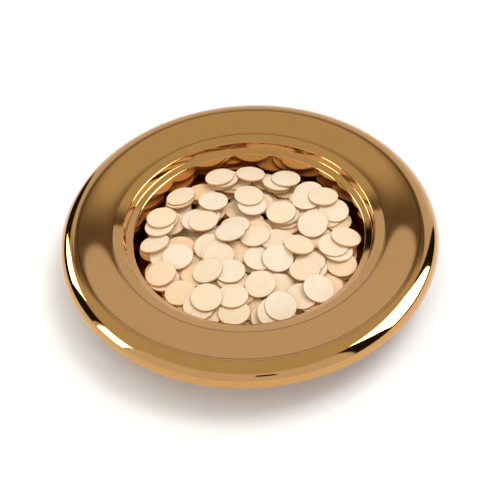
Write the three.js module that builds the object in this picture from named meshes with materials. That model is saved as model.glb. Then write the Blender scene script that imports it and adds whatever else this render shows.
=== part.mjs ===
// A stacking communion bread plate (a paten with a deep round well) and the heap of round altar
// bread wafers that it holds. The plate is one spun sheet with a hemmed rim; a spun foot ring
// under its stacking ledge carries it, and seats in the recess of the next plate below.
// Millimetres, +Z up. The origin is the middle of the foot ring's resting face.
import * as THREE from 'three';

// ---- driving dimensions of the plate ----
const rimRadius = 155.5; // outermost edge
const rimBottom = 36; // height at which the rim points straight down
const rimRollCentre = 141.8; // radius over which the rim roll is highest
const rimRollHeight = 14.15; // the roll's top above rimBottom
const creaseRadius = 139.3; // outer end of the dished flange
const creaseHeight = 50;
const flangeInnerSlope = 0.055; // the flange is an S: flattest at its two ends
const flangeOuterSlope = 0.08;
const flangeEase = 9; // how far the two ends reach into the S
const shoulderRadius = 111.5; // soft bend between the flange and the sloping band
const shoulderHeight = 46.7;
const recessTopRadius = 103.1; // inner end of the sloping band, above the recess wall
const recessTopHeight = 44.6;
const recessRadius = 101.2; // foot of the wall that a stacked plate's foot ring drops into
const ledgeOuterHeight = 39; // the stacking ledge falls a little from there to the lip
const wellRadius = 95.7; // lip of the well
const lipHeight = 36.4;
const wellFloorRadius = 94; // the wall draws in a little towards the floor
const wellFloor = 12; // top face of the floor
const sheet = 1; // sheet thickness
const hemThickness = 2.2; // sheet folded back on itself inside the rim
const hemHeight = 5;
const lipBend = 1.3; // bend radii, on the upper face
const ledgeBend = 1.2;
const recessBend = 1.2;
const crestBend = 8;
const floorBend = 6;
const roundSegments = 48;
const bendSteps = 2; // straight steps in each bend, in the flange, in the rim roll and in the hem
const flangeSteps = 6;
const rimSteps = 8;
const hemSteps = 4;

// ---- driving dimensions of the foot ring ----
const footRadius = 100; // outside of the wall
const footSheet = 1.2;
const footBend = 2;
const footTopBend = 1.5;
const footFlatInner = 95.4; // inner edge of the resting flange
const seamInner = 97.6; // inner edge of the flange that is soldered under the ledge
const touchGap = 0.3; // between two pieces that touch

// ---- driving dimensions of the wafers and their heap ----
const waferRadius = 12.7; // one inch across
const waferThickness = 1.4;
const waferSides = 16;
const looseWafers = 57; // wafers of the top layer, each a piece of its own
const heapLevel = 26.8; // mean height that the heap is filled to
const heapSeed = 20417;
const wallClearance = 0.9; // between a wafer and the well wall
const steepest = Math.tan(THREE.MathUtils.degToRad(14)); // most that a wafer tips, as a slope
const mostKick = Math.tan(THREE.MathUtils.degToRad(4)); // tilt that friction leaves in it
const landingTries = 16; // places tried for a wafer before it settles in the lowest
const wallBias = -1; // mm that a place beside the wall counts as lower
const cell = 1; // spacing of the height grid
const tiltSteps = 6; // of the search for a wafer's tilt
const tiltRounds = 6;
const bedRings = 9;
const bedSectors = 30;
const bedReach = 12.4; // how far round a point of the bed's top the wafers over it are looked for
const bedMargin = 0.4; // between the packed bed and the wafers that lie on it

const gold = new THREE.Color(0.80, 0.50, 0.20);
const cream = new THREE.Color(0.93, 0.84, 0.72);

function metal(colour = gold) {
  return new THREE.MeshStandardMaterial({ color: colour, metalness: 1, roughness: 0.08 });
}

function bread() {
  return new THREE.MeshStandardMaterial({ color: cream, metalness: 0, roughness: 0.9 });
}

function piece(name, geometry, material) {
  const mesh = new THREE.Mesh(geometry, material);
  mesh.name = name;
  return mesh;
}

// A closed outline of (radius, height) points, anticlockwise, turned round the Z axis.
function turned(outline) {
  return new THREE.LatheGeometry(outline, roundSegments).rotateX(Math.PI / 2);
}

// ---- the plate ----

// Points of a bend of the given radius that rounds off the corner at `corner`.
function bend(before, corner, after, radius) {
  const into = before.clone().sub(corner).normalize();
  const out = after.clone().sub(corner).normalize();
  const half = Math.acos(into.dot(out)) / 2;
  const reach = radius / Math.tan(half);
  const start = corner.clone().addScaledVector(into, reach);
  const end = corner.clone().addScaledVector(out, reach);
  const middle = corner.clone().addScaledVector(into.clone().add(out).normalize(), radius / Math.sin(half));
  const from = start.clone().sub(middle).angle();
  let turn = end.clone().sub(middle).angle() - from;
  if (turn > Math.PI) turn -= 2 * Math.PI;
  if (turn < -Math.PI) turn += 2 * Math.PI;
  return Array.from({ length: bendSteps + 1 }, (_, i) => {
    const angle = from + (turn * i) / bendSteps;
    return new THREE.Vector2(Math.cos(angle), Math.sin(angle)).multiplyScalar(radius).add(middle);
  });
}

// The upper face of the sheet, from the axis out to the bottom of the rim.
function upperFace() {
  const at = (r, z) => new THREE.Vector2(r, z);
  const centre = at(0, wellFloor);
  const floorCorner = at(wellFloorRadius, wellFloor);
  const lip = at(wellRadius, lipHeight);
  const ledgeCorner = at(recessRadius, ledgeOuterHeight);
  const recessTop = at(recessTopRadius, recessTopHeight);
  const slopeEnd = at(shoulderRadius, shoulderHeight);
  const easeIn = at(shoulderRadius + flangeEase, shoulderHeight + flangeEase * flangeInnerSlope);
  const easeOut = at(creaseRadius - flangeEase, creaseHeight - flangeEase * flangeOuterSlope);
  const crease = at(creaseRadius, creaseHeight);
  const crestReach = (rimBottom + rimRollHeight - creaseHeight) / flangeOuterSlope;
  const crest = at(creaseRadius + crestReach, rimBottom + rimRollHeight);
  const rimTop = at(rimRollCentre, rimBottom + rimRollHeight);
  const flange = new THREE.CubicBezierCurve(slopeEnd, easeIn, easeOut, crease);
  const rim = new THREE.EllipseCurve(rimRollCentre, rimBottom, rimRadius - rimRollCentre, rimRollHeight,
    Math.PI / 2, 0, true);
  return [
    centre,
    ...bend(centre, floorCorner, lip, floorBend),
    ...bend(floorCorner, lip, ledgeCorner, lipBend),
    ...bend(lip, ledgeCorner, recessTop, ledgeBend),
    ...bend(ledgeCorner, recessTop, slopeEnd, recessBend),
    ...flange.getPoints(flangeSteps),
    ...bend(crease, crest, rimTop, crestBend),
    ...rim.getPoints(rimSteps).slice(1),
  ];
}

// Point i of the upper face, moved square through the sheet by `distance`.
function below(face, i, distance) {
  if (i === 0) return new THREE.Vector2(0, face[0].y - distance);
  const along = face[i + 1].clone().sub(face[i - 1]).normalize();
  return new THREE.Vector2(face[i].x + along.y * distance, face[i].y - along.x * distance);
}

function platePan() {
  const top = upperFace();
  const hem = hemThickness / 2;
  const hemTurn = new THREE.EllipseCurve(rimRadius - hem, rimBottom, hem, hem, 0, -Math.PI, true);
  const underside = top.slice(0, -1).map((point, i) => {
    const hemmed = point.x > rimRollCentre && point.y < rimBottom + hemHeight;
    return below(top, i, hemmed ? hemThickness : sheet);
  });
  const outline = [...underside, ...hemTurn.getPoints(hemSteps).reverse(), ...top.slice(0, -1).reverse()];
  return piece('plate_pan', turned(outline), metal());
}

// ---- the foot ring ----

// A spun collar: a flange soldered under the ledge, a wall, and a flange that rests on the table.
function footRing() {
  const slope = (ledgeOuterHeight - lipHeight) / (recessRadius - wellRadius);
  const depth = (sheet + touchGap) * Math.hypot(1, slope);
  const underLedge = (r) => lipHeight + (r - wellRadius) * slope - depth;
  const at = (r, z) => new THREE.Vector2(r, z);
  const inside = footRadius - footSheet;
  const outerTop = at(footRadius, underLedge(footRadius));
  const seam = at(seamInner, underLedge(seamInner));
  const innerTop = at(inside, underLedge(inside) - footSheet);
  const outline = [
    at(footFlatInner, 0),
    ...bend(at(footFlatInner, 0), at(footRadius, 0), outerTop, footBend),
    ...bend(at(footRadius, 0), outerTop, seam, footTopBend),
    seam,
    at(seamInner, seam.y - footSheet),
    innerTop,
    ...bend(innerTop, at(inside, footSheet), at(footFlatInner, footSheet), footBend - footSheet),
    at(footFlatInner, footSheet),
  ];
  return piece('stacking_foot_ring', turned([...outline, outline[0]]), metal());
}

// ---- the wafers ----

// Repeatable random numbers from 0 to 1.
function seeded(seed) {
  let state = seed;
  return () => {
    state = (Math.imul(state, 1664525) + 1013904223) >>> 0;
    return state / 4294967296;
  };
}

// The heap's top surface as heights on a square grid over the well.
class Heap {
  constructor(level) {
    this.side = 2 * Math.ceil(wellRadius / cell) + 1;
    this.heights = new Float64Array(this.side * this.side).fill(level);
  }

  // Calls visit(index, dx, dy) for each grid point within `reach` of (x, y).
  under(x, y, reach, visit) {
    const middle = (this.side - 1) / 2;
    const first = (v) => Math.max(0, Math.ceil((v - reach) / cell + middle));
    const last = (v) => Math.min(this.side - 1, Math.floor((v + reach) / cell + middle));
    for (let row = first(y); row <= last(y); row += 1) {
      const dy = (row - middle) * cell - y;
      for (let column = first(x); column <= last(x); column += 1) {
        const dx = (column - middle) * cell - x;
        if (dx * dx + dy * dy <= reach * reach) visit(row * this.side + column, dx, dy);
      }
    }
  }

  // Each grid point under a wafer at (x, y), as dx, dy and height, one after another.
  footprint(x, y) {
    const spots = [];
    this.under(x, y, waferRadius + cell / 2, (index, dx, dy) => spots.push(dx, dy, this.heights[index]));
    return Float64Array.from(spots);
  }

  // Raises the empty surface to the bend round the well's floor.
  followFloorBend() {
    this.under(0, 0, wellFloorRadius, (index, dx, dy) => {
      const over = Math.max(0, Math.hypot(dx, dy) - (wellFloorRadius - floorBend));
      this.heights[index] += floorBend - Math.sqrt(floorBend ** 2 - over ** 2);
    });
  }

  meanHeight(reach) {
    let [sum, count] = [0, 0];
    this.under(0, 0, reach, (index) => {
      sum += this.heights[index];
      count += 1;
    });
    return sum / count;
  }

  // Raises the surface to the top of a wafer.
  cover({ x, y, z, slopeX, slopeY }) {
    const rise = waferThickness * Math.hypot(1, slopeX, slopeY);
    this.under(x, y, waferRadius + cell / 2, (index, dx, dy) => {
      const top = z + slopeX * dx + slopeY * dy + rise;
      this.heights[index] = Math.max(this.heights[index], top);
    });
  }
}

// The height at which a plane of this slope lies on the spots, at the wafer's middle.
function restingHeight(spots, slopeX, slopeY) {
  let height = -Infinity;
  for (let i = 0; i < spots.length; i += 3) {
    height = Math.max(height, spots[i + 2] - slopeX * spots[i] - slopeY * spots[i + 1]);
  }
  return height;
}

// A wafer let down at (x, y): it tips until its middle is as low as it can be, on three points.
// The tilt is searched on a square of slopes that closes in on the lowest one.
function settled(heap, x, y) {
  const spots = heap.footprint(x, y);
  let [slopeX, slopeY, lowest] = [0, 0, Infinity];
  let [lowX, highX, lowY, highY] = [-steepest, steepest, -steepest, steepest];
  for (let round = 0; round < tiltRounds; round += 1) {
    const stepX = (highX - lowX) / tiltSteps;
    const stepY = (highY - lowY) / tiltSteps;
    lowest = Infinity;
    for (let i = 0; i <= tiltSteps; i += 1) {
      for (let j = 0; j <= tiltSteps; j += 1) {
        const height = restingHeight(spots, lowX + i * stepX, lowY + j * stepY);
        if (height < lowest) [lowest, slopeX, slopeY] = [height, lowX + i * stepX, lowY + j * stepY];
      }
    }
    [lowX, highX] = [Math.max(slopeX - stepX, -steepest), Math.min(slopeX + stepX, steepest)];
    [lowY, highY] = [Math.max(slopeY - stepY, -steepest), Math.min(slopeY + stepY, steepest)];
  }
  return { x, y, slopeX, slopeY, lowest, spots };
}

function dropWafer(heap, random) {
  const reach = wellFloorRadius - wallClearance - waferRadius;
  let wafer = null;
  let best = Infinity;
  for (let i = 0; i < landingTries; i += 1) {
    const r = reach * Math.sqrt(random());
    const angle = 2 * Math.PI * random();
    const tried = settled(heap, r * Math.cos(angle), r * Math.sin(angle));
    const score = tried.lowest + wallBias * (r / reach) ** 2;
    if (score < best) [wafer, best] = [tried, score];
  }
  const kick = mostKick * random();
  const way = 2 * Math.PI * random();
  wafer.slopeX += kick * Math.cos(way);
  wafer.slopeY += kick * Math.sin(way);
  wafer.z = restingHeight(wafer.spots, wafer.slopeX, wafer.slopeY) + touchGap / 2;
  heap.cover(wafer);
  return wafer;
}

function pourWafers() {
  const random = seeded(heapSeed);
  const heap = new Heap(wellFloor + touchGap);
  heap.followFloorBend();
  const wafers = [];
  while (heap.meanHeight(wellFloorRadius - wallClearance) < heapLevel) {
    wafers.push(dropWafer(heap, random));
  }
  return wafers;
}

function waferMesh(name, { x, y, z, slopeX, slopeY }) {
  const up = new THREE.Vector3(-slopeX, -slopeY, 1).normalize();
  const disc = new THREE.CylinderGeometry(waferRadius, waferRadius, waferThickness, waferSides);
  const mesh = piece(name, disc.rotateX(Math.PI / 2), bread());
  mesh.quaternion.setFromUnitVectors(new THREE.Vector3(0, 0, 1), up);
  mesh.position.set(x, y, z).addScaledVector(up, waferThickness / 2);
  return mesh;
}

// The packed wafers below the loose ones, joined: a puck whose top follows their undersides.
function packedBed(loose) {
  const ceiling = new Heap(heapLevel);
  loose.forEach(({ x, y, z, slopeX, slopeY }) => {
    ceiling.under(x, y, waferRadius + cell, (index, dx, dy) => {
      ceiling.heights[index] = Math.min(ceiling.heights[index], z + slopeX * dx + slopeY * dy);
    });
  });
  const base = wellFloor + touchGap;
  const outer = wellFloorRadius - wallClearance;
  const spacing = outer / bedRings;
  const top = Array.from({ length: bedRings + 1 }, (_, i) => new THREE.Vector2(i * spacing, heapLevel));
  const bottom = [[0, base], [outer - floorBend, base], [outer, base + floorBend]]
    .map(([r, z]) => new THREE.Vector2(r, z));
  const geometry = new THREE.LatheGeometry([...bottom, ...top.reverse()], bedSectors).rotateX(Math.PI / 2);
  const position = geometry.getAttribute('position');
  for (let i = 0; i < position.count; i += 1) {
    if (position.getZ(i) <= base + floorBend) continue;
    let lowest = heapLevel;
    ceiling.under(position.getX(i), position.getY(i), bedReach, (index) => {
      lowest = Math.min(lowest, ceiling.heights[index]);
    });
    position.setZ(i, lowest - bedMargin);
  }
  return piece('wafer_bed', geometry, bread());
}

function waferHeap() {
  const wafers = pourWafers();
  const heap = new THREE.Group();
  heap.add(packedBed(wafers.slice(-looseWafers)));
  wafers.slice(-looseWafers).forEach((wafer, i) => {
    heap.add(waferMesh(`wafer_${String(i + 1).padStart(2, '0')}`, wafer));
  });
  return heap;
}

const plate = new THREE.Group();
plate.add(platePan(), footRing(), waferHeap());
export default plate;
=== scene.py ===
"""A mirror-polished, gold-tone stacking communion bread plate with its heap of altar bread wafers.

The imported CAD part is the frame. The plate and its foot ring are turned again here from the same
profile, finely enough for mirror reflections, and each CAD wafer gets a finely modelled one in its
place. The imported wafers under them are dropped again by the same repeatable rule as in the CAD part.
The profiles, the wafers and the heap are worked out in millimetres, as in the CAD part, and MM turns
them into the scene's metres.
"""

import math

import bpy
import numpy as np
from mathutils import Matrix, Vector


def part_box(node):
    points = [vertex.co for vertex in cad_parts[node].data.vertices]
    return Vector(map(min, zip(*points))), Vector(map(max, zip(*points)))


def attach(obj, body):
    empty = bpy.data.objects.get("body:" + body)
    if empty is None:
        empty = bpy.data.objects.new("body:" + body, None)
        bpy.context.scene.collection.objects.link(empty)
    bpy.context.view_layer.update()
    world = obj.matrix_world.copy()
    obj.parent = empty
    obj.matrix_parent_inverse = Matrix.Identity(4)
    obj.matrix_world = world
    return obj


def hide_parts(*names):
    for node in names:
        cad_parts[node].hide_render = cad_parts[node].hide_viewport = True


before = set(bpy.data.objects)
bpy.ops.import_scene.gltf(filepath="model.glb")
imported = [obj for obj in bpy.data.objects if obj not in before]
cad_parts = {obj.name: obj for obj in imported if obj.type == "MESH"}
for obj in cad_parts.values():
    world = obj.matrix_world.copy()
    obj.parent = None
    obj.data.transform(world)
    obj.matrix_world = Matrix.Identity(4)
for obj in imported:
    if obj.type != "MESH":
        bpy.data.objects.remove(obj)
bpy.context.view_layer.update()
MM = 0.001

# ---- the plate's profile, as in the CAD part (millimetres) ----
RIM_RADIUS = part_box("plate_pan")[1][0] / MM
RIM_BOTTOM = 36.0
RIM_ROLL_CENTRE = 141.8
RIM_ROLL_HEIGHT = 14.15
CREASE = (139.3, 50.0)
FLANGE_INNER_SLOPE = 0.055
FLANGE_OUTER_SLOPE = 0.08
FLANGE_EASE = 9.0
SHOULDER = (111.5, 46.7)
RECESS_TOP = (103.1, 44.6)
RECESS_RADIUS = 101.2
LEDGE_OUTER_HEIGHT = 39.0
WELL_RADIUS = 95.7
LIP_HEIGHT = 36.4
WELL_FLOOR_RADIUS = 94.0
WELL_FLOOR = 12.0
SHEET = 1.0
HEM_THICKNESS = 2.2
HEM_HEIGHT = 5.0
FLOOR_BEND, LIP_BEND, LEDGE_BEND, RECESS_BEND, CREST_BEND = 6.0, 1.3, 1.2, 1.2, 8.0
SUPPORT = 0.35  # extra points lie this far from both ends of a straight stretch
FLOOR_BEND_STEPS, LIP_BEND_STEPS, LEDGE_BEND_STEPS, RECESS_BEND_STEPS, CREST_BEND_STEPS = 8, 10, 8, 8, 4
FLANGE_STEPS = 26
ROLL_STEPS = 44
HEM_STEPS = 16
PLATE_SIDES = 288

# ---- the foot ring ----
FOOT_RADIUS = 100.0
FOOT_SHEET = 1.2
FOOT_BEND = 2.0
FOOT_TOP_BEND = 1.5
FOOT_FLAT_INNER = 95.4
SEAM_INNER = 97.6
FOOT_EDGE = 0.4  # rounding of the resting flange's inner edge
FOOT_BEND_STEPS, FOOT_TOP_BEND_STEPS, FOOT_INSIDE_STEPS, FOOT_EDGE_STEPS = 10, 8, 6, 5
FOOT_SIDES = 192
TOUCH_GAP = 0.3

# ---- the wafers ----
WAFER_RADIUS = 12.7
WAFER_THICKNESS = 1.4
LOOSE_WAFERS = sum(name.startswith("wafer_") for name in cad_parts) - 1
HEAP_LEVEL = 26.8
HEAP_SEED = 20417
WALL_CLEARANCE = 0.9
STEEPEST = math.tan(math.radians(14))
MOST_KICK = math.tan(math.radians(4))
LANDING_TRIES = 16
WALL_BIAS = -1.0
TILT_STEPS = 6
TILT_ROUNDS = 6
CELL_MARGIN = 0.5  # half a cell of the heap's grid
RANDOM_FACTOR, RANDOM_STEP, RANDOM_RANGE = 1664525, 1013904223, 2**32
MOST_DRIFT = 0.5  # between a CAD wafer and its place by the same rule here

# ---- the wafers' shapes ----
WAFER_SIDES = 44
WAFER_EDGE = 0.28  # radius of the soft edge
WAFER_EDGE_STEPS = 3
WAFER_FACE_RINGS = (5.0, 10.0)
MOST_BOW = 0.12
MOST_TWIST = 0.14
RAGGED = 0.035  # spread of the cut edge's radius
RAGGED_POWER = 6  # how closely the raggedness keeps to the edge
SPIN_SEED, TONE_SEED = 5000, 9000  # added to a wafer's number
PALEST_SHADED_PACKED = 0.4  # tones run from golden, 0, to pale, 1, by chance within each range: the packed wafers under the top ones stay below this as painted shade, loose ones above

# ---- the camera ----
CAMERA_ELEVATION = math.radians(46.04)
CAMERA_DISTANCE = 0.9
CAMERA_TARGET_HEIGHT = 0.05
CAMERA_LENS = 79.3
CAMERA_SENSOR = 36.0
CAMERA_NEAR, CAMERA_FAR = 0.05, 50
CAMERA_PAN, CAMERA_TILT, CAMERA_ROLL = (math.radians(a) for a in (-0.01, -1.47, 3.5))

METAL_SLOT = "polished_gold_metal"
BREAD_SLOT = "wafer_bread"


# ---------------------------------------------------------------- shapes

def bend(before, corner, after, radius, steps):
    """Points of an arc that rounds off a corner of an outline."""
    before, corner, after = (np.array(p, float) for p in (before, corner, after))
    into = (before - corner) / np.linalg.norm(before - corner)
    out = (after - corner) / np.linalg.norm(after - corner)
    half = math.acos(into @ out) / 2
    middle = corner + (into + out) / np.linalg.norm(into + out) * radius / math.sin(half)
    start, end = (corner + way * radius / math.tan(half) - middle for way in (into, out))
    first = math.atan2(start[1], start[0])
    turn = (math.atan2(end[1], end[0]) - first + math.pi) % (2 * math.pi) - math.pi
    angles = first + turn * np.linspace(0, 1, steps + 1)
    return [tuple(middle + radius * np.array((math.cos(a), math.sin(a)))) for a in angles]


def joined(*stretches):
    """One outline from arcs and points. Each straight gap gets an extra point near both of its ends,
    which keeps the smooth shading of the bends out of it."""
    outline = list(stretches[0])
    for stretch in stretches[1:]:
        start, end = np.array(outline[-1]), np.array(stretch[0])
        gap = np.linalg.norm(end - start)
        if gap > 3 * SUPPORT:
            reach = (end - start) / gap * SUPPORT
            outline += [tuple(start + reach), tuple(end - reach)]
        outline += list(stretch)
    return outline


def upper_face():
    """The upper face of the sheet, from the axis out to the bottom of the rim."""
    floor_middle = (0.0, WELL_FLOOR)
    floor_corner = (WELL_FLOOR_RADIUS, WELL_FLOOR)
    lip = (WELL_RADIUS, LIP_HEIGHT)
    ledge_corner = (RECESS_RADIUS, LEDGE_OUTER_HEIGHT)
    rim_top = RIM_BOTTOM + RIM_ROLL_HEIGHT
    inner, outer = np.array(SHOULDER), np.array(CREASE)
    ease_in = inner + FLANGE_EASE * np.array((1, FLANGE_INNER_SLOPE))
    ease_out = outer - FLANGE_EASE * np.array((1, FLANGE_OUTER_SLOPE))
    flange = []
    for t in np.linspace(0, 1, FLANGE_STEPS + 1):
        a, b, c, d = (1 - t) ** 3, 3 * t * (1 - t) ** 2, 3 * t * t * (1 - t), t**3
        flange.append(tuple(a * inner + b * ease_in + c * ease_out + d * outer))
    crest = (CREASE[0] + (rim_top - CREASE[1]) / FLANGE_OUTER_SLOPE, rim_top)
    roll = [(RIM_ROLL_CENTRE + (RIM_RADIUS - RIM_ROLL_CENTRE) * math.cos(a),
             RIM_BOTTOM + RIM_ROLL_HEIGHT * math.sin(a))
            for a in np.linspace(math.pi / 2, 0, ROLL_STEPS + 1)[1:]]
    return joined(
        [floor_middle],
        bend(floor_middle, floor_corner, lip, FLOOR_BEND, FLOOR_BEND_STEPS),
        bend(floor_corner, lip, ledge_corner, LIP_BEND, LIP_BEND_STEPS),
        bend(lip, ledge_corner, RECESS_TOP, LEDGE_BEND, LEDGE_BEND_STEPS),
        bend(ledge_corner, RECESS_TOP, SHOULDER, RECESS_BEND, RECESS_BEND_STEPS),
        flange,
        bend(CREASE, crest, (RIM_ROLL_CENTRE, rim_top), CREST_BEND, CREST_BEND_STEPS),
        roll,
    )


def moved_through_sheet(face, i, distance):
    """Point i of the upper face, moved square through the sheet."""
    if i == 0:
        return (0.0, face[0][1] - distance)
    along = np.array(face[i + 1]) - np.array(face[i - 1])
    along /= np.linalg.norm(along)
    return (face[i][0] + along[1] * distance, face[i][1] - along[0] * distance)


def pan_outline():
    """The pan's whole section: the underside outwards, the hem's turn, and the upper face back."""
    top = upper_face()
    hem = HEM_THICKNESS / 2
    hem_turn = [(RIM_RADIUS - hem + hem * math.cos(a), RIM_BOTTOM + hem * math.sin(a))
                for a in np.linspace(-math.pi, 0, HEM_STEPS + 1)]
    underside = []
    for i, (r, z) in enumerate(top[:-1]):
        hemmed = r > RIM_ROLL_CENTRE and z < RIM_BOTTOM + HEM_HEIGHT
        underside.append(moved_through_sheet(top, i, HEM_THICKNESS if hemmed else SHEET))
    return underside + hem_turn + top[-2::-1]


def foot_outline():
    """The foot ring's section: a resting flange, a wall and a flange under the sloping ledge."""
    slope = (LEDGE_OUTER_HEIGHT - LIP_HEIGHT) / (RECESS_RADIUS - WELL_RADIUS)
    depth = (SHEET + TOUCH_GAP) * math.hypot(1, slope)

    def under_ledge(r):
        return (r, LIP_HEIGHT + (r - WELL_RADIUS) * slope - depth)

    inside = FOOT_RADIUS - FOOT_SHEET
    outer_foot, outer_top = (FOOT_RADIUS, 0.0), under_ledge(FOOT_RADIUS)
    seam = under_ledge(SEAM_INNER)
    inner_foot, inner_top = (inside, FOOT_SHEET), (inside, under_ledge(inside)[1] - FOOT_SHEET)
    start = (FOOT_FLAT_INNER, 0.0)
    return joined(
        bend((FOOT_FLAT_INNER, FOOT_SHEET), start, outer_foot, FOOT_EDGE, FOOT_EDGE_STEPS),
        bend(start, outer_foot, outer_top, FOOT_BEND, FOOT_BEND_STEPS),
        bend(outer_foot, outer_top, seam, FOOT_TOP_BEND, FOOT_TOP_BEND_STEPS),
        [seam, (SEAM_INNER, seam[1] - FOOT_SHEET), inner_top],
        bend(inner_top, inner_foot, (FOOT_FLAT_INNER, FOOT_SHEET), FOOT_BEND - FOOT_SHEET,
             FOOT_INSIDE_STEPS),
        bend(inner_foot, (FOOT_FLAT_INNER, FOOT_SHEET), start, FOOT_EDGE, FOOT_EDGE_STEPS),
    )


def new_mesh_object(name, vertices, faces):
    mesh = bpy.data.meshes.new(name)
    mesh.from_pydata(vertices, [], faces)
    mesh.update()
    mesh.shade_smooth()
    made = bpy.data.objects.new(name, mesh)
    bpy.context.scene.collection.objects.link(made)
    return made


def turned(name, outline, sides):
    """An anticlockwise outline of (radius, height) in millimetres, turned round Z. An outline that
    starts and ends on the axis is closed there, and any other is closed on itself."""
    on_axis = outline[0][0] == 0
    rings = outline[1:-1] if on_axis else outline
    vertices, faces = [], []
    angles = [2 * math.pi * i / sides for i in range(sides)]
    for r, z in rings:
        vertices += [(r * MM * math.cos(a), r * MM * math.sin(a), z * MM) for a in angles]
    count = len(rings)
    for k in range(count - 1 if on_axis else count):
        a, b = k * sides, (k + 1) % count * sides
        faces += [(a + i, a + (i + 1) % sides, b + (i + 1) % sides, b + i) for i in range(sides)]
    if on_axis:
        for (_, z), start, turn in ((outline[0], 0, -1), (outline[-1], (count - 1) * sides, 1)):
            middle = len(vertices)
            vertices.append((0, 0, z * MM))
            for i in range(sides):
                pair = (start + i, start + (i + 1) % sides)
                faces.append((middle, *pair[::turn]))
    return new_mesh_object(name, vertices, faces)


# ---------------------------------------------------------------- the heap

def seeded(seed):
    """Repeatable random numbers from 0 to 1."""
    state = seed
    while True:
        state = (state * RANDOM_FACTOR + RANDOM_STEP) % RANDOM_RANGE
        yield state / RANDOM_RANGE


class Heap:
    """The heap's top surface as heights on a square grid of 1 mm cells over the well."""

    def __init__(self):
        self.side = 2 * math.ceil(WELL_RADIUS) + 1
        self.middle = (self.side - 1) / 2
        self.heights = np.full((self.side, self.side), WELL_FLOOR + TOUCH_GAP)
        spots, dx, dy = self.under(0, 0, WELL_FLOOR_RADIUS)
        over = np.maximum(0, np.hypot(dx, dy) - (WELL_FLOOR_RADIUS - FLOOR_BEND))
        self.heights[spots] += FLOOR_BEND - np.sqrt(FLOOR_BEND**2 - over**2)

    def under(self, x, y, reach):
        """The grid points within reach of (x, y): their rows and columns, and their dx and dy."""
        rows, columns = (
            np.arange(max(0, math.ceil(v - reach + self.middle)),
                      min(self.side - 1, math.floor(v + reach + self.middle)) + 1) for v in (y, x))
        row, column = np.meshgrid(rows, columns, indexing="ij")
        dx, dy = column - self.middle - x, row - self.middle - y
        inside = dx * dx + dy * dy <= reach * reach
        return (row[inside], column[inside]), dx[inside], dy[inside]

    def settled(self, x, y):
        """A wafer let down at (x, y) tips until its middle is as low as it can be."""
        spots, dx, dy = self.under(x, y, WAFER_RADIUS + CELL_MARGIN)
        heights = self.heights[spots]
        low, high = np.array((-STEEPEST, -STEEPEST)), np.array((STEEPEST, STEEPEST))
        for _ in range(TILT_ROUNDS):
            step = (high - low) / TILT_STEPS
            slope_x, slope_y = (low[k] + np.arange(TILT_STEPS + 1) * step[k] for k in (0, 1))
            across = heights - slope_x[:, None] * dx
            planes = (across[:, None, :] - (slope_y[:, None] * dy)[None]).max(axis=2)
            i, j = np.unravel_index(planes.argmin(), planes.shape)
            slope = np.array((slope_x[i], slope_y[j]))
            low, high = np.maximum(slope - step, -STEEPEST), np.minimum(slope + step, STEEPEST)
        return {"x": x, "y": y, "slope": slope, "lowest": planes[i, j],
                "spots": spots, "dx": dx, "dy": dy}

    def lay(self, wafer):
        """Lays the wafer on the heap at its tilt, and raises the surface over it."""
        slope, dx, dy = wafer["slope"], wafer["dx"], wafer["dy"]
        heights = self.heights[wafer["spots"]]
        z = (heights - slope[0] * dx - slope[1] * dy).max() + TOUCH_GAP / 2
        wafer["z"] = z
        top = z + slope[0] * dx + slope[1] * dy + WAFER_THICKNESS * math.sqrt(1 + slope @ slope)
        self.heights[wafer["spots"]] = np.maximum(heights, top)


def poured_wafers():
    """Every wafer of the heap as its middle and its normal, in millimetres, in the order of falling."""
    random = seeded(HEAP_SEED)
    heap = Heap()
    reach = WELL_FLOOR_RADIUS - WALL_CLEARANCE - WAFER_RADIUS
    whole, _, _ = heap.under(0, 0, WELL_FLOOR_RADIUS - WALL_CLEARANCE)
    poured = []
    while heap.heights[whole].mean() < HEAP_LEVEL:
        wafer, best = None, math.inf
        for _ in range(LANDING_TRIES):
            r = reach * math.sqrt(next(random))
            angle = 2 * math.pi * next(random)
            tried = heap.settled(r * math.cos(angle), r * math.sin(angle))
            score = tried["lowest"] + WALL_BIAS * (r / reach) ** 2
            if score < best:
                wafer, best = tried, score
        kick = MOST_KICK * next(random)
        way = 2 * math.pi * next(random)
        wafer["slope"] = wafer["slope"] + kick * np.array((math.cos(way), math.sin(way)))
        heap.lay(wafer)
        normal = Vector((-wafer["slope"][0], -wafer["slope"][1], 1)).normalized()
        middle = Vector((wafer["x"], wafer["y"], wafer["z"])) + normal * WAFER_THICKNESS / 2
        poured.append((middle, normal))
    return poured


def disc_pose(node):
    """The middle and the normal of a CAD wafer, in millimetres."""
    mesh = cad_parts[node].data
    points = np.empty(len(mesh.vertices) * 3)
    mesh.vertices.foreach_get("co", points)
    points = np.unique(points.reshape(-1, 3).round(7), axis=0) / MM
    middle = (points.max(axis=0) + points.min(axis=0)) / 2
    normal = np.linalg.svd(points - middle)[2][2]
    return Vector(middle), Vector(normal * math.copysign(1, normal[2]))


# ---------------------------------------------------------------- the wafers' meshes

def wafer_rings():
    """(radius, height) of a wafer's rings from the middle of its top to the middle of its bottom."""
    top = WAFER_THICKNESS / 2
    edge = [(WAFER_RADIUS - WAFER_EDGE + WAFER_EDGE * math.sin(a),
             top - WAFER_EDGE + WAFER_EDGE * math.cos(a))
            for a in np.linspace(0, math.pi / 2, WAFER_EDGE_STEPS + 1)]
    upper = [(r, top) for r in WAFER_FACE_RINGS] + edge
    return upper + [(r, -z) for r, z in reversed(upper)]


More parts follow.
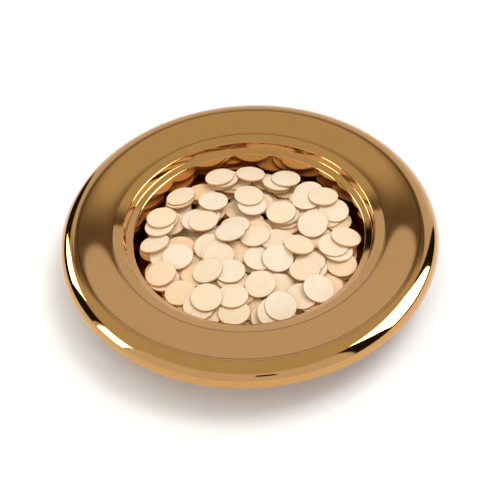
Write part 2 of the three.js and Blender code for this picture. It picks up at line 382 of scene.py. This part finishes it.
def wafer_shape(seed):
    """Vertices and faces of one wafer: nearly flat, a little bowed and twisted, each its own way."""
    draw = np.random.default_rng(seed)
    bow = draw.uniform(-MOST_BOW, MOST_BOW)
    twist = draw.uniform(-MOST_TWIST, MOST_TWIST)
    lean = draw.uniform(0, math.pi)
    ragged = draw.normal(0, RAGGED, WAFER_SIDES)
    ragged = (ragged + np.roll(ragged, 1) + np.roll(ragged, -1)) / 3
    angles = np.linspace(0, 2 * math.pi, WAFER_SIDES, endpoint=False)
    rings = wafer_rings()

    def lifted(r, a):
        """How far the bow and the twist lift a point of the wafer."""
        share = (r / WAFER_RADIUS) ** 2
        return bow * (share - 0.5) + twist * share * np.cos(2 * (a - lean))

    vertices = [(0, 0, WAFER_THICKNESS / 2 + lifted(0, 0))]
    for r, z in rings:
        grown = r + ragged * (r / WAFER_RADIUS) ** RAGGED_POWER
        vertices += list(zip(grown * np.cos(angles), grown * np.sin(angles), z + lifted(r, angles)))
    vertices.append((0, 0, -WAFER_THICKNESS / 2 + lifted(0, 0)))
    faces = []
    for i in range(WAFER_SIDES):
        after = (i + 1) % WAFER_SIDES
        faces.append((0, 1 + i, 1 + after))
        for k in range(len(rings) - 1):
            a, b = 1 + k * WAFER_SIDES, 1 + (k + 1) * WAFER_SIDES
            faces.append((a + i, b + i, b + after, a + after))
        last = 1 + (len(rings) - 1) * WAFER_SIDES
        faces.append((last + i, len(vertices) - 1, last + after))
    return np.array(vertices, float) * MM, faces


def posed(vertices, pose, seed):
    """A wafer's vertices at its place in the heap, turned by chance about its own axis."""
    middle, normal = pose
    spin = Matrix.Rotation(np.random.default_rng(seed + SPIN_SEED).uniform(0, 2 * math.pi), 3, "Z")
    turn = np.array(Vector((0, 0, 1)).rotation_difference(normal).to_matrix() @ spin)
    return vertices @ turn.T + np.array(middle) * MM


def edge_share():
    """1 on a wafer's cut edge and 0 on its faces, for each vertex of a wafer."""
    rings = [float(r > WAFER_RADIUS - WAFER_EDGE / 2) for r, _ in wafer_rings()]
    return np.concatenate(([0.0], np.repeat(rings, WAFER_SIDES), [0.0]))


def shade_attributes(made, tones, edges):
    """Gives each vertex its wafer's tone value and its share in the cut edge, which the bread material
    reads. The tone is a chance value, kept low on the packed wafers under the top ones as painted shade."""
    for name, values in (("wafer_tone_and_shade", tones), ("wafer_edge", edges)):
        layer = made.data.attributes.new(name, "FLOAT", "POINT")
        layer.data.foreach_set("value", np.asarray(values, np.float32))


def make_wafers(bread):
    """One piece for each loose CAD wafer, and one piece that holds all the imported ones."""
    poured = poured_wafers()
    packed = poured[:-LOOSE_WAFERS]
    for i in range(LOOSE_WAFERS):
        node = f"wafer_{i + 1:02d}"
        pose = disc_pose(node)
        drift = (pose[0] - poured[len(packed) + i][0]).length
        if drift > MOST_DRIFT:
            raise ValueError(f"{node} lies {drift:.2f} mm from where the heap rule puts it")
        vertices, faces = wafer_shape(i)
        made = new_mesh_object(f"altar_bread_{i + 1:02d}", posed(vertices, pose, i).tolist(), faces)
        tone = PALEST_SHADED_PACKED + (1 - PALEST_SHADED_PACKED) * np.random.default_rng(i + TONE_SEED).random()
        shade_attributes(made, np.full(len(vertices), tone), edge_share())
        dress(made, bread, BREAD_SLOT, "wafers", node)
    all_vertices, all_faces, tones = [], [], []
    for i, pose in enumerate(packed, start=LOOSE_WAFERS):
        vertices, faces = wafer_shape(i)
        first = len(all_vertices)
        all_vertices += posed(vertices, pose, i).tolist()
        all_faces += [tuple(first + v for v in face) for face in faces]
        # Painted shade: the packed wafers under the top ones get tones from the lower, more golden
        # range.
        tones += [PALEST_SHADED_PACKED * np.random.default_rng(i + TONE_SEED).random()] * len(vertices)
    made = new_mesh_object("packed_altar_bread", all_vertices, all_faces)
    shade_attributes(made, tones, np.tile(edge_share(), len(packed)))
    dress(made, bread, BREAD_SLOT, "wafers", "wafer_bed")


def dress(made, material, slot, body, *nodes):
    """Gives a piece its material, its body and the CAD nodes that it stands for."""
    made.data.materials.append(material)
    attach(made, body)
    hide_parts(*nodes)


# ---------------------------------------------------------------- materials

GOLD_TONES = (0.515, 0.270, 0.080, 1), (0.530, 0.279, 0.084, 1)
# Tone of the painted dark reflection line at the crease and the shoulder.
PAINTED_REFLECTION_TONE = (0.16, 0.07, 0.02, 1)
LINE_FROM, LINE_TO, LINE_STRENGTH = 0.2, 0.6, 0.85  # how the painted dark reflection line fades out, in millimetres
# The golden end partly stands for painted shade: the packed wafers under the top ones take tones near
# it.
BREAD_GOLDEN_SHADE, BREAD_PALE = (0.78, 0.535, 0.31, 1), (0.76, 0.67, 0.535, 1)
BREAD_MOTTLE = (0.72, 0.555, 0.375, 1)
BREAD_GRAIN = (0.69, 0.52, 0.35, 1)
BREAD_SPECK = (0.50, 0.29, 0.13, 1)
# The cut edge's colour: partly toasting and partly painted shade along the wafers' edges.
BREAD_TOASTED_AND_SHADED_EDGE = (0.60, 0.345, 0.125, 1)

class Nodes:
    """Short calls for building a node tree."""

    def __init__(self, tree):
        self.tree = tree
        tree.nodes.clear()

    def add(self, kind, inputs=(), **settings):
        node = self.tree.nodes.new(kind)
        for key, value in settings.items():
            setattr(node, key, value)
        for key, value in dict(inputs).items():
            self.feed(node.inputs[key], value)
        return node

    def feed(self, socket, value):
        if isinstance(value, bpy.types.NodeSocket):
            self.tree.links.new(value, socket)
        else:
            socket.default_value = value

    def math(self, operation, *values, clamp=False):
        node = self.add("ShaderNodeMath", enumerate(values), operation=operation, use_clamp=clamp)
        return node.outputs[0]

    def ramp(self, value, low, high, to_low=0.0, to_high=1.0, smooth=True):
        node = self.add("ShaderNodeMapRange", {
            "Value": value, "From Min": low, "From Max": high, "To Min": to_low, "To Max": to_high,
        }, interpolation_type="SMOOTHSTEP" if smooth else "LINEAR")
        return node.outputs["Result"]

    def mix(self, share, a, b):
        node = self.add("ShaderNodeMix", data_type="RGBA")
        self.feed(node.inputs[0], share)
        self.feed(node.inputs[6], a)
        self.feed(node.inputs[7], b)
        return node.outputs[2]


def gold_metal():
    """Gold-tone polish on spun metal: almost a mirror, with faint rings of spinning, soft waviness, a
    slight haze and hairline handling marks. A thin dark line along the crease and the shoulder is a
    painted reflection: it stands in for the dark lines that these bends mirror."""
    material = bpy.data.materials.new("polished_gold_metal")
    material.use_nodes = True
    n = Nodes(material.node_tree)
    place = n.add("ShaderNodeTexCoord").outputs["Object"]
    split = n.add("ShaderNodeSeparateXYZ", {0: place})
    radius = n.math("SQRT", n.math("ADD", n.math("MULTIPLY", split.outputs[0], split.outputs[0]),
                                   n.math("MULTIPLY", split.outputs[1], split.outputs[1])))
    rings = n.add("ShaderNodeTexNoise", {
        "W": n.math("ADD", radius, split.outputs[2]), "Scale": 900.0, "Detail": 3.0,
    }, noise_dimensions="1D").outputs[0]
    waves = n.add("ShaderNodeTexNoise", {"Vector": place, "Scale": 14.0, "Detail": 1.0}).outputs[0]
    haze = n.add("ShaderNodeTexNoise", {"Vector": place, "Scale": 60.0, "Detail": 5.0}).outputs[0]
    marks = n.add("ShaderNodeTexVoronoi", {"Vector": n.add("ShaderNodeMapping", {
        "Vector": place, "Rotation": (0, 0, 0.6), "Scale": (900, 40, 400)}).outputs[0], "Scale": 1.0},
        feature="DISTANCE_TO_EDGE").outputs["Distance"]
    hairline = n.ramp(marks, 0.0, 0.012, 1.0, 0.0)
    roughness = n.math("ADD", n.ramp(haze, 0.35, 0.75, 0.04, 0.06),
                       n.math("MULTIPLY", hairline, 0.02))
    tone = n.mix(n.ramp(haze, 0.3, 0.7), *GOLD_TONES)
    bump_waves = n.add("ShaderNodeBump", {"Height": waves, "Strength": 0.05, "Distance": 0.0006})
    bump_rings = n.add("ShaderNodeBump", {
        "Height": rings, "Strength": 0.02, "Distance": 0.00005, "Normal": bump_waves.outputs[0]})
    # Painted reflection: a thin dark ring on the upper face at the crease and at the shoulder stands in
    # for the dark lines that these bends mirror.
    for ring, height in (CREASE, SHOULDER):
        away = n.math("ABSOLUTE", n.math("SUBTRACT", radius, ring * MM))
        upper = n.math("GREATER_THAN", split.outputs[2], (height - SHEET / 2) * MM)
        share = n.math("MULTIPLY", upper, n.ramp(away, LINE_FROM * MM, LINE_TO * MM, LINE_STRENGTH, 0.0))
        tone = n.mix(share, tone, PAINTED_REFLECTION_TONE)
    shader = n.add("ShaderNodeBsdfPrincipled", {
        "Base Color": tone, "Metallic": 1.0, "Roughness": roughness, "Normal": bump_rings.outputs[0]})
    shader.inputs["Coat Weight"].default_value = 0.6
    shader.inputs["Coat IOR"].default_value = 1.45
    shader.inputs["Coat Roughness"].default_value = 0.04
    n.add("ShaderNodeOutputMaterial", {"Surface": shader.outputs[0]})
    return material


def wafer_bread():
    """Pressed, baked wheat wafer: pale cream, matt and a little translucent, with fine grain, faint
    mottling and tiny specks. The cut edge is darker, partly from toasting and partly painted shade along
    the wafers' edges. The packed wafers under the top ones lean to a more golden colour as painted
    shade."""
    material = bpy.data.materials.new("wafer_bread")
    material.use_nodes = True
    n = Nodes(material.node_tree)
    place = n.add("ShaderNodeTexCoord").outputs["Object"]
    own = n.add("ShaderNodeAttribute", attribute_name="wafer_tone_and_shade").outputs["Fac"]
    edge = n.add("ShaderNodeAttribute", attribute_name="wafer_edge").outputs["Fac"]
    grain = n.add("ShaderNodeTexNoise", {"Vector": place, "Scale": 1100.0, "Detail": 4.0,
                                         "Roughness": 0.7}).outputs[0]
    mottle = n.add("ShaderNodeTexNoise", {"Vector": place, "Scale": 260.0, "Detail": 3.0}).outputs[0]
    specks = n.add("ShaderNodeTexVoronoi", {"Vector": place, "Scale": 420.0}).outputs["Distance"]
    speck = n.math("MULTIPLY", n.ramp(specks, 0.06, 0.22, 1.0, 0.0), n.ramp(mottle, 0.45, 0.6))
    # Low tones lean to the golden colour: on the packed wafers this is painted shade between the wafers.
    base = n.mix(own, BREAD_GOLDEN_SHADE, BREAD_PALE)
    mottled = n.mix(n.ramp(mottle, 0.45, 0.75, 0.0, 0.45), base, BREAD_MOTTLE)
    grained = n.mix(n.ramp(grain, 0.35, 0.7, 0.0, 0.3), mottled, BREAD_GRAIN)
    speckled = n.mix(n.math("MULTIPLY", speck, 0.35), grained, BREAD_SPECK)
    # A darker cut edge: partly toasting and partly painted shade along each wafer's edge.
    toasted_and_shaded = n.mix(n.ramp(edge, 0.0, 1.0, 0.0, 0.95, smooth=False), speckled, BREAD_TOASTED_AND_SHADED_EDGE)
    height = n.math("SUBTRACT", n.math("ADD", grain, n.math("MULTIPLY", mottle, 0.8)),
                    n.math("MULTIPLY", speck, 0.5))
    bump = n.add("ShaderNodeBump", {"Height": height, "Strength": 0.4, "Distance": 0.00012})
    shader = n.add("ShaderNodeBsdfPrincipled", {
        "Base Color": toasted_and_shaded, "Roughness": n.ramp(grain, 0.3, 0.7, 0.72, 0.88),
        "Normal": bump.outputs[0]})
    shader.inputs["Specular IOR Level"].default_value = 0.3
    shader.inputs["Subsurface Weight"].default_value = 0.15
    shader.inputs["Subsurface Radius"].default_value = (1.0, 0.75, 0.5)
    shader.inputs["Subsurface Scale"].default_value = 0.0015
    n.add("ShaderNodeOutputMaterial", {"Surface": shader.outputs[0]})
    return material


# ---------------------------------------------------------------- the studio

FLOOR_REACH = 1.3  # half the floor's side


def make_floor():
    """A plain white table top, larger than the view. The studio past it is as white to the camera."""
    far = FLOOR_REACH
    corners = [(-far, -far, 0), (far, -far, 0), (far, far, 0), (-far, far, 0)]
    floor = new_mesh_object("studio_floor", corners, [(0, 1, 2, 3)])
    material = bpy.data.materials.new("white_floor")
    material.use_nodes = True
    shader = material.node_tree.nodes["Principled BSDF"]
    shader.inputs["Base Color"].default_value = (0.93, 0.93, 0.93, 1)
    shader.inputs["Roughness"].default_value = 0.9
    shader.inputs["Specular IOR Level"].default_value = 0.0
    floor.data.materials.append(material)


# Walls and dark gaps of the studio, by bearing and elevation in degrees: bearing 0 is +X, 90 is
# behind the plate and -90 is the camera's side. Each is (name, from bearing, to bearing, from
# elevation, to elevation, side softness, top softness, colour, strength), and later ones cover
# earlier ones.
STUDIO = (
    ("gap_behind_left", 116, 184, -90, 33, 2.0, 2.5, (1.0, 0.8, 0.6), 0.02),
    ("gap_behind_right", 0, 38, -90, 47, 2.0, 2.5, (1.0, 0.8, 0.6), 0.02),
    ("gap_in_front_right", -41, 0, -90, 49, 2.0, 2.5, (1.0, 0.8, 0.6), 0.02),
    ("beam_behind", 56, 124, 40, 48.6, 8.0, 2.2, (1.0, 0.78, 0.65), 0.20),
    ("back_wall", 38, 116, -90, 45.2, 0.8, 0.35, (1.0, 1.02, 1.12), 0.88),
    ("back_wall_foot", 42, 114, -90, 18, 3.0, 14.0, (1.0, 1.02, 1.12), 1.1),
    ("front_wall", -158, -41, -90, 44, 1.2, 2.0, (1.0, 1.04, 1.2), 0.97),
    ("camera", -91, -80, 25, 34, 1.0, 1.0, (0.02, 0.02, 0.02), 1.0),
)
CEILING = (0.77, 0.745, 0.62, 1)


def make_studio():
    """The studio as a world: pale walls with dark gaps between them, which the polished metal
    mirrors. The camera itself sees plain white past the floor."""
    world = bpy.data.worlds.new("studio")
    bpy.context.scene.world = world
    world.use_nodes = True
    n = Nodes(world.node_tree)
    way = n.add("ShaderNodeSeparateXYZ", {0: n.add("ShaderNodeTexCoord").outputs["Generated"]})
    degrees = 180 / math.pi
    elevation = n.math("MULTIPLY", n.math("ARCSINE", way.outputs[2]), degrees)
    bearing = n.math("MULTIPLY", n.math("ARCTAN2", way.outputs[1], way.outputs[0]), degrees)
    seen = CEILING
    for _, bearing_from, bearing_to, low, high, side_soft, top_soft, colour, strength in STUDIO:
        sides = n.math("MULTIPLY",
                       n.ramp(bearing, bearing_from - side_soft, bearing_from + side_soft),
                       n.ramp(bearing, bearing_to + side_soft, bearing_to - side_soft))
        ends = n.math("MULTIPLY",
                      n.ramp(elevation, low - top_soft, low + top_soft),
                      n.ramp(elevation, high + top_soft, high - top_soft))
        seen = n.mix(n.math("MULTIPLY", sides, ends), seen, (*(strength * c for c in colour), 1))
    to_camera = n.add("ShaderNodeLightPath").outputs["Is Camera Ray"]
    background = n.add("ShaderNodeBackground", {"Color": n.mix(to_camera, seen, (1, 1, 1, 1))})
    n.add("ShaderNodeOutputWorld", {"Surface": background.outputs[0]})


# Softboxes that the metal mirrors: (name, bearing, elevation, half width, half height, radiance).
SOFTBOXES = (
    ("right", 0, 30.5, 22, 24.5, 10.0),
    ("left", 147, 26, 12, 10.5, 10.0),
    ("left_strip", -167, 14, 9, 14, 10.0),
)
SOFTBOX_DISTANCE = 5.0
# Lights over the frame that shine on the matt things only: (name, bearing, elevation, distance,
# size, watts, colour).
LIGHTS = (
    ("key", 15, 64, 3.0, 1.6, 37, (0.98, 1.0, 1.06)),
    ("fill", 0, 89.9, 4.0, 4.5, 45, (1.0, 0.975, 0.94)),
    ("front_fill", -90, 38, 3.0, 1.8, 14, (1.0, 0.84, 0.66)),
)


def area_light(name, bearing, elevation, distance, width, height, watts):
    """A rectangular light that faces the origin."""
    data = bpy.data.lights.new(name, "AREA")
    data.shape, data.size, data.size_y, data.energy = "RECTANGLE", width, height, watts
    light = bpy.data.objects.new(name, data)
    bpy.context.scene.collection.objects.link(light)
    bearing, elevation = math.radians(bearing), math.radians(elevation)
    way = Vector((math.cos(bearing) * math.cos(elevation), math.sin(bearing) * math.cos(elevation),
                  math.sin(elevation)))
    light.location = way * distance
    light.rotation_euler = way.to_track_quat("Z", "Y").to_euler()
    return light


def make_lights():
    """Softboxes that only the metal mirrors, and lights that only shine on matt things."""
    for name, bearing, elevation, half_width, half_height, radiance in SOFTBOXES:
        width, height = (2 * SOFTBOX_DISTANCE * math.tan(math.radians(half))
                         for half in (half_width, half_height))
        width *= math.cos(math.radians(elevation))
        light = area_light(f"{name}_softbox", bearing, elevation, SOFTBOX_DISTANCE, width, height,
                           radiance * math.pi * width * height)
        light.visible_diffuse = False
    for name, bearing, elevation, distance, size, watts, colour in LIGHTS:
        light = area_light(name, bearing, elevation, distance, size, size, watts)
        light.data.color = colour
        light.visible_glossy = False


def make_camera():
    """A long lens that looks down on the plate from the front, turned a little about its own axes."""
    data = bpy.data.cameras.new("camera")
    data.lens, data.sensor_width = CAMERA_LENS, CAMERA_SENSOR
    data.clip_start, data.clip_end = CAMERA_NEAR, CAMERA_FAR
    camera = bpy.data.objects.new("camera", data)
    bpy.context.scene.collection.objects.link(camera)
    target = Vector((0, 0, CAMERA_TARGET_HEIGHT))
    away = Vector((0, -math.cos(CAMERA_ELEVATION), math.sin(CAMERA_ELEVATION)))
    forward, right = -away, Vector((1, 0, 0))
    up = right.cross(forward)
    pan = Matrix.Rotation(CAMERA_PAN, 3, up)
    forward, right = pan @ forward, pan @ right
    tilt = Matrix.Rotation(CAMERA_TILT, 3, right)
    forward, up = tilt @ forward, tilt @ up
    roll = Matrix.Rotation(CAMERA_ROLL, 3, forward)
    right, up = roll @ right, roll @ up
    place = Matrix((right, up, -forward)).transposed().to_4x4()
    place.translation = target + away * CAMERA_DISTANCE
    camera.matrix_world = place
    bpy.context.scene.camera = camera


# ---------------------------------------------------------------- the build

make_camera()
make_studio()
make_lights()
make_floor()

gold = gold_metal()
pan = turned("spun_plate", pan_outline(), PLATE_SIDES)
dress(pan, gold, METAL_SLOT, "plate", "plate_pan")
foot = turned("foot_ring", foot_outline(), FOOT_SIDES)
dress(foot, gold, METAL_SLOT, "plate", "stacking_foot_ring")
make_wafers(wafer_bread())

bpy.context.scene.view_settings.view_transform = "Standard"
bpy.context.scene.view_settings.look = "None"
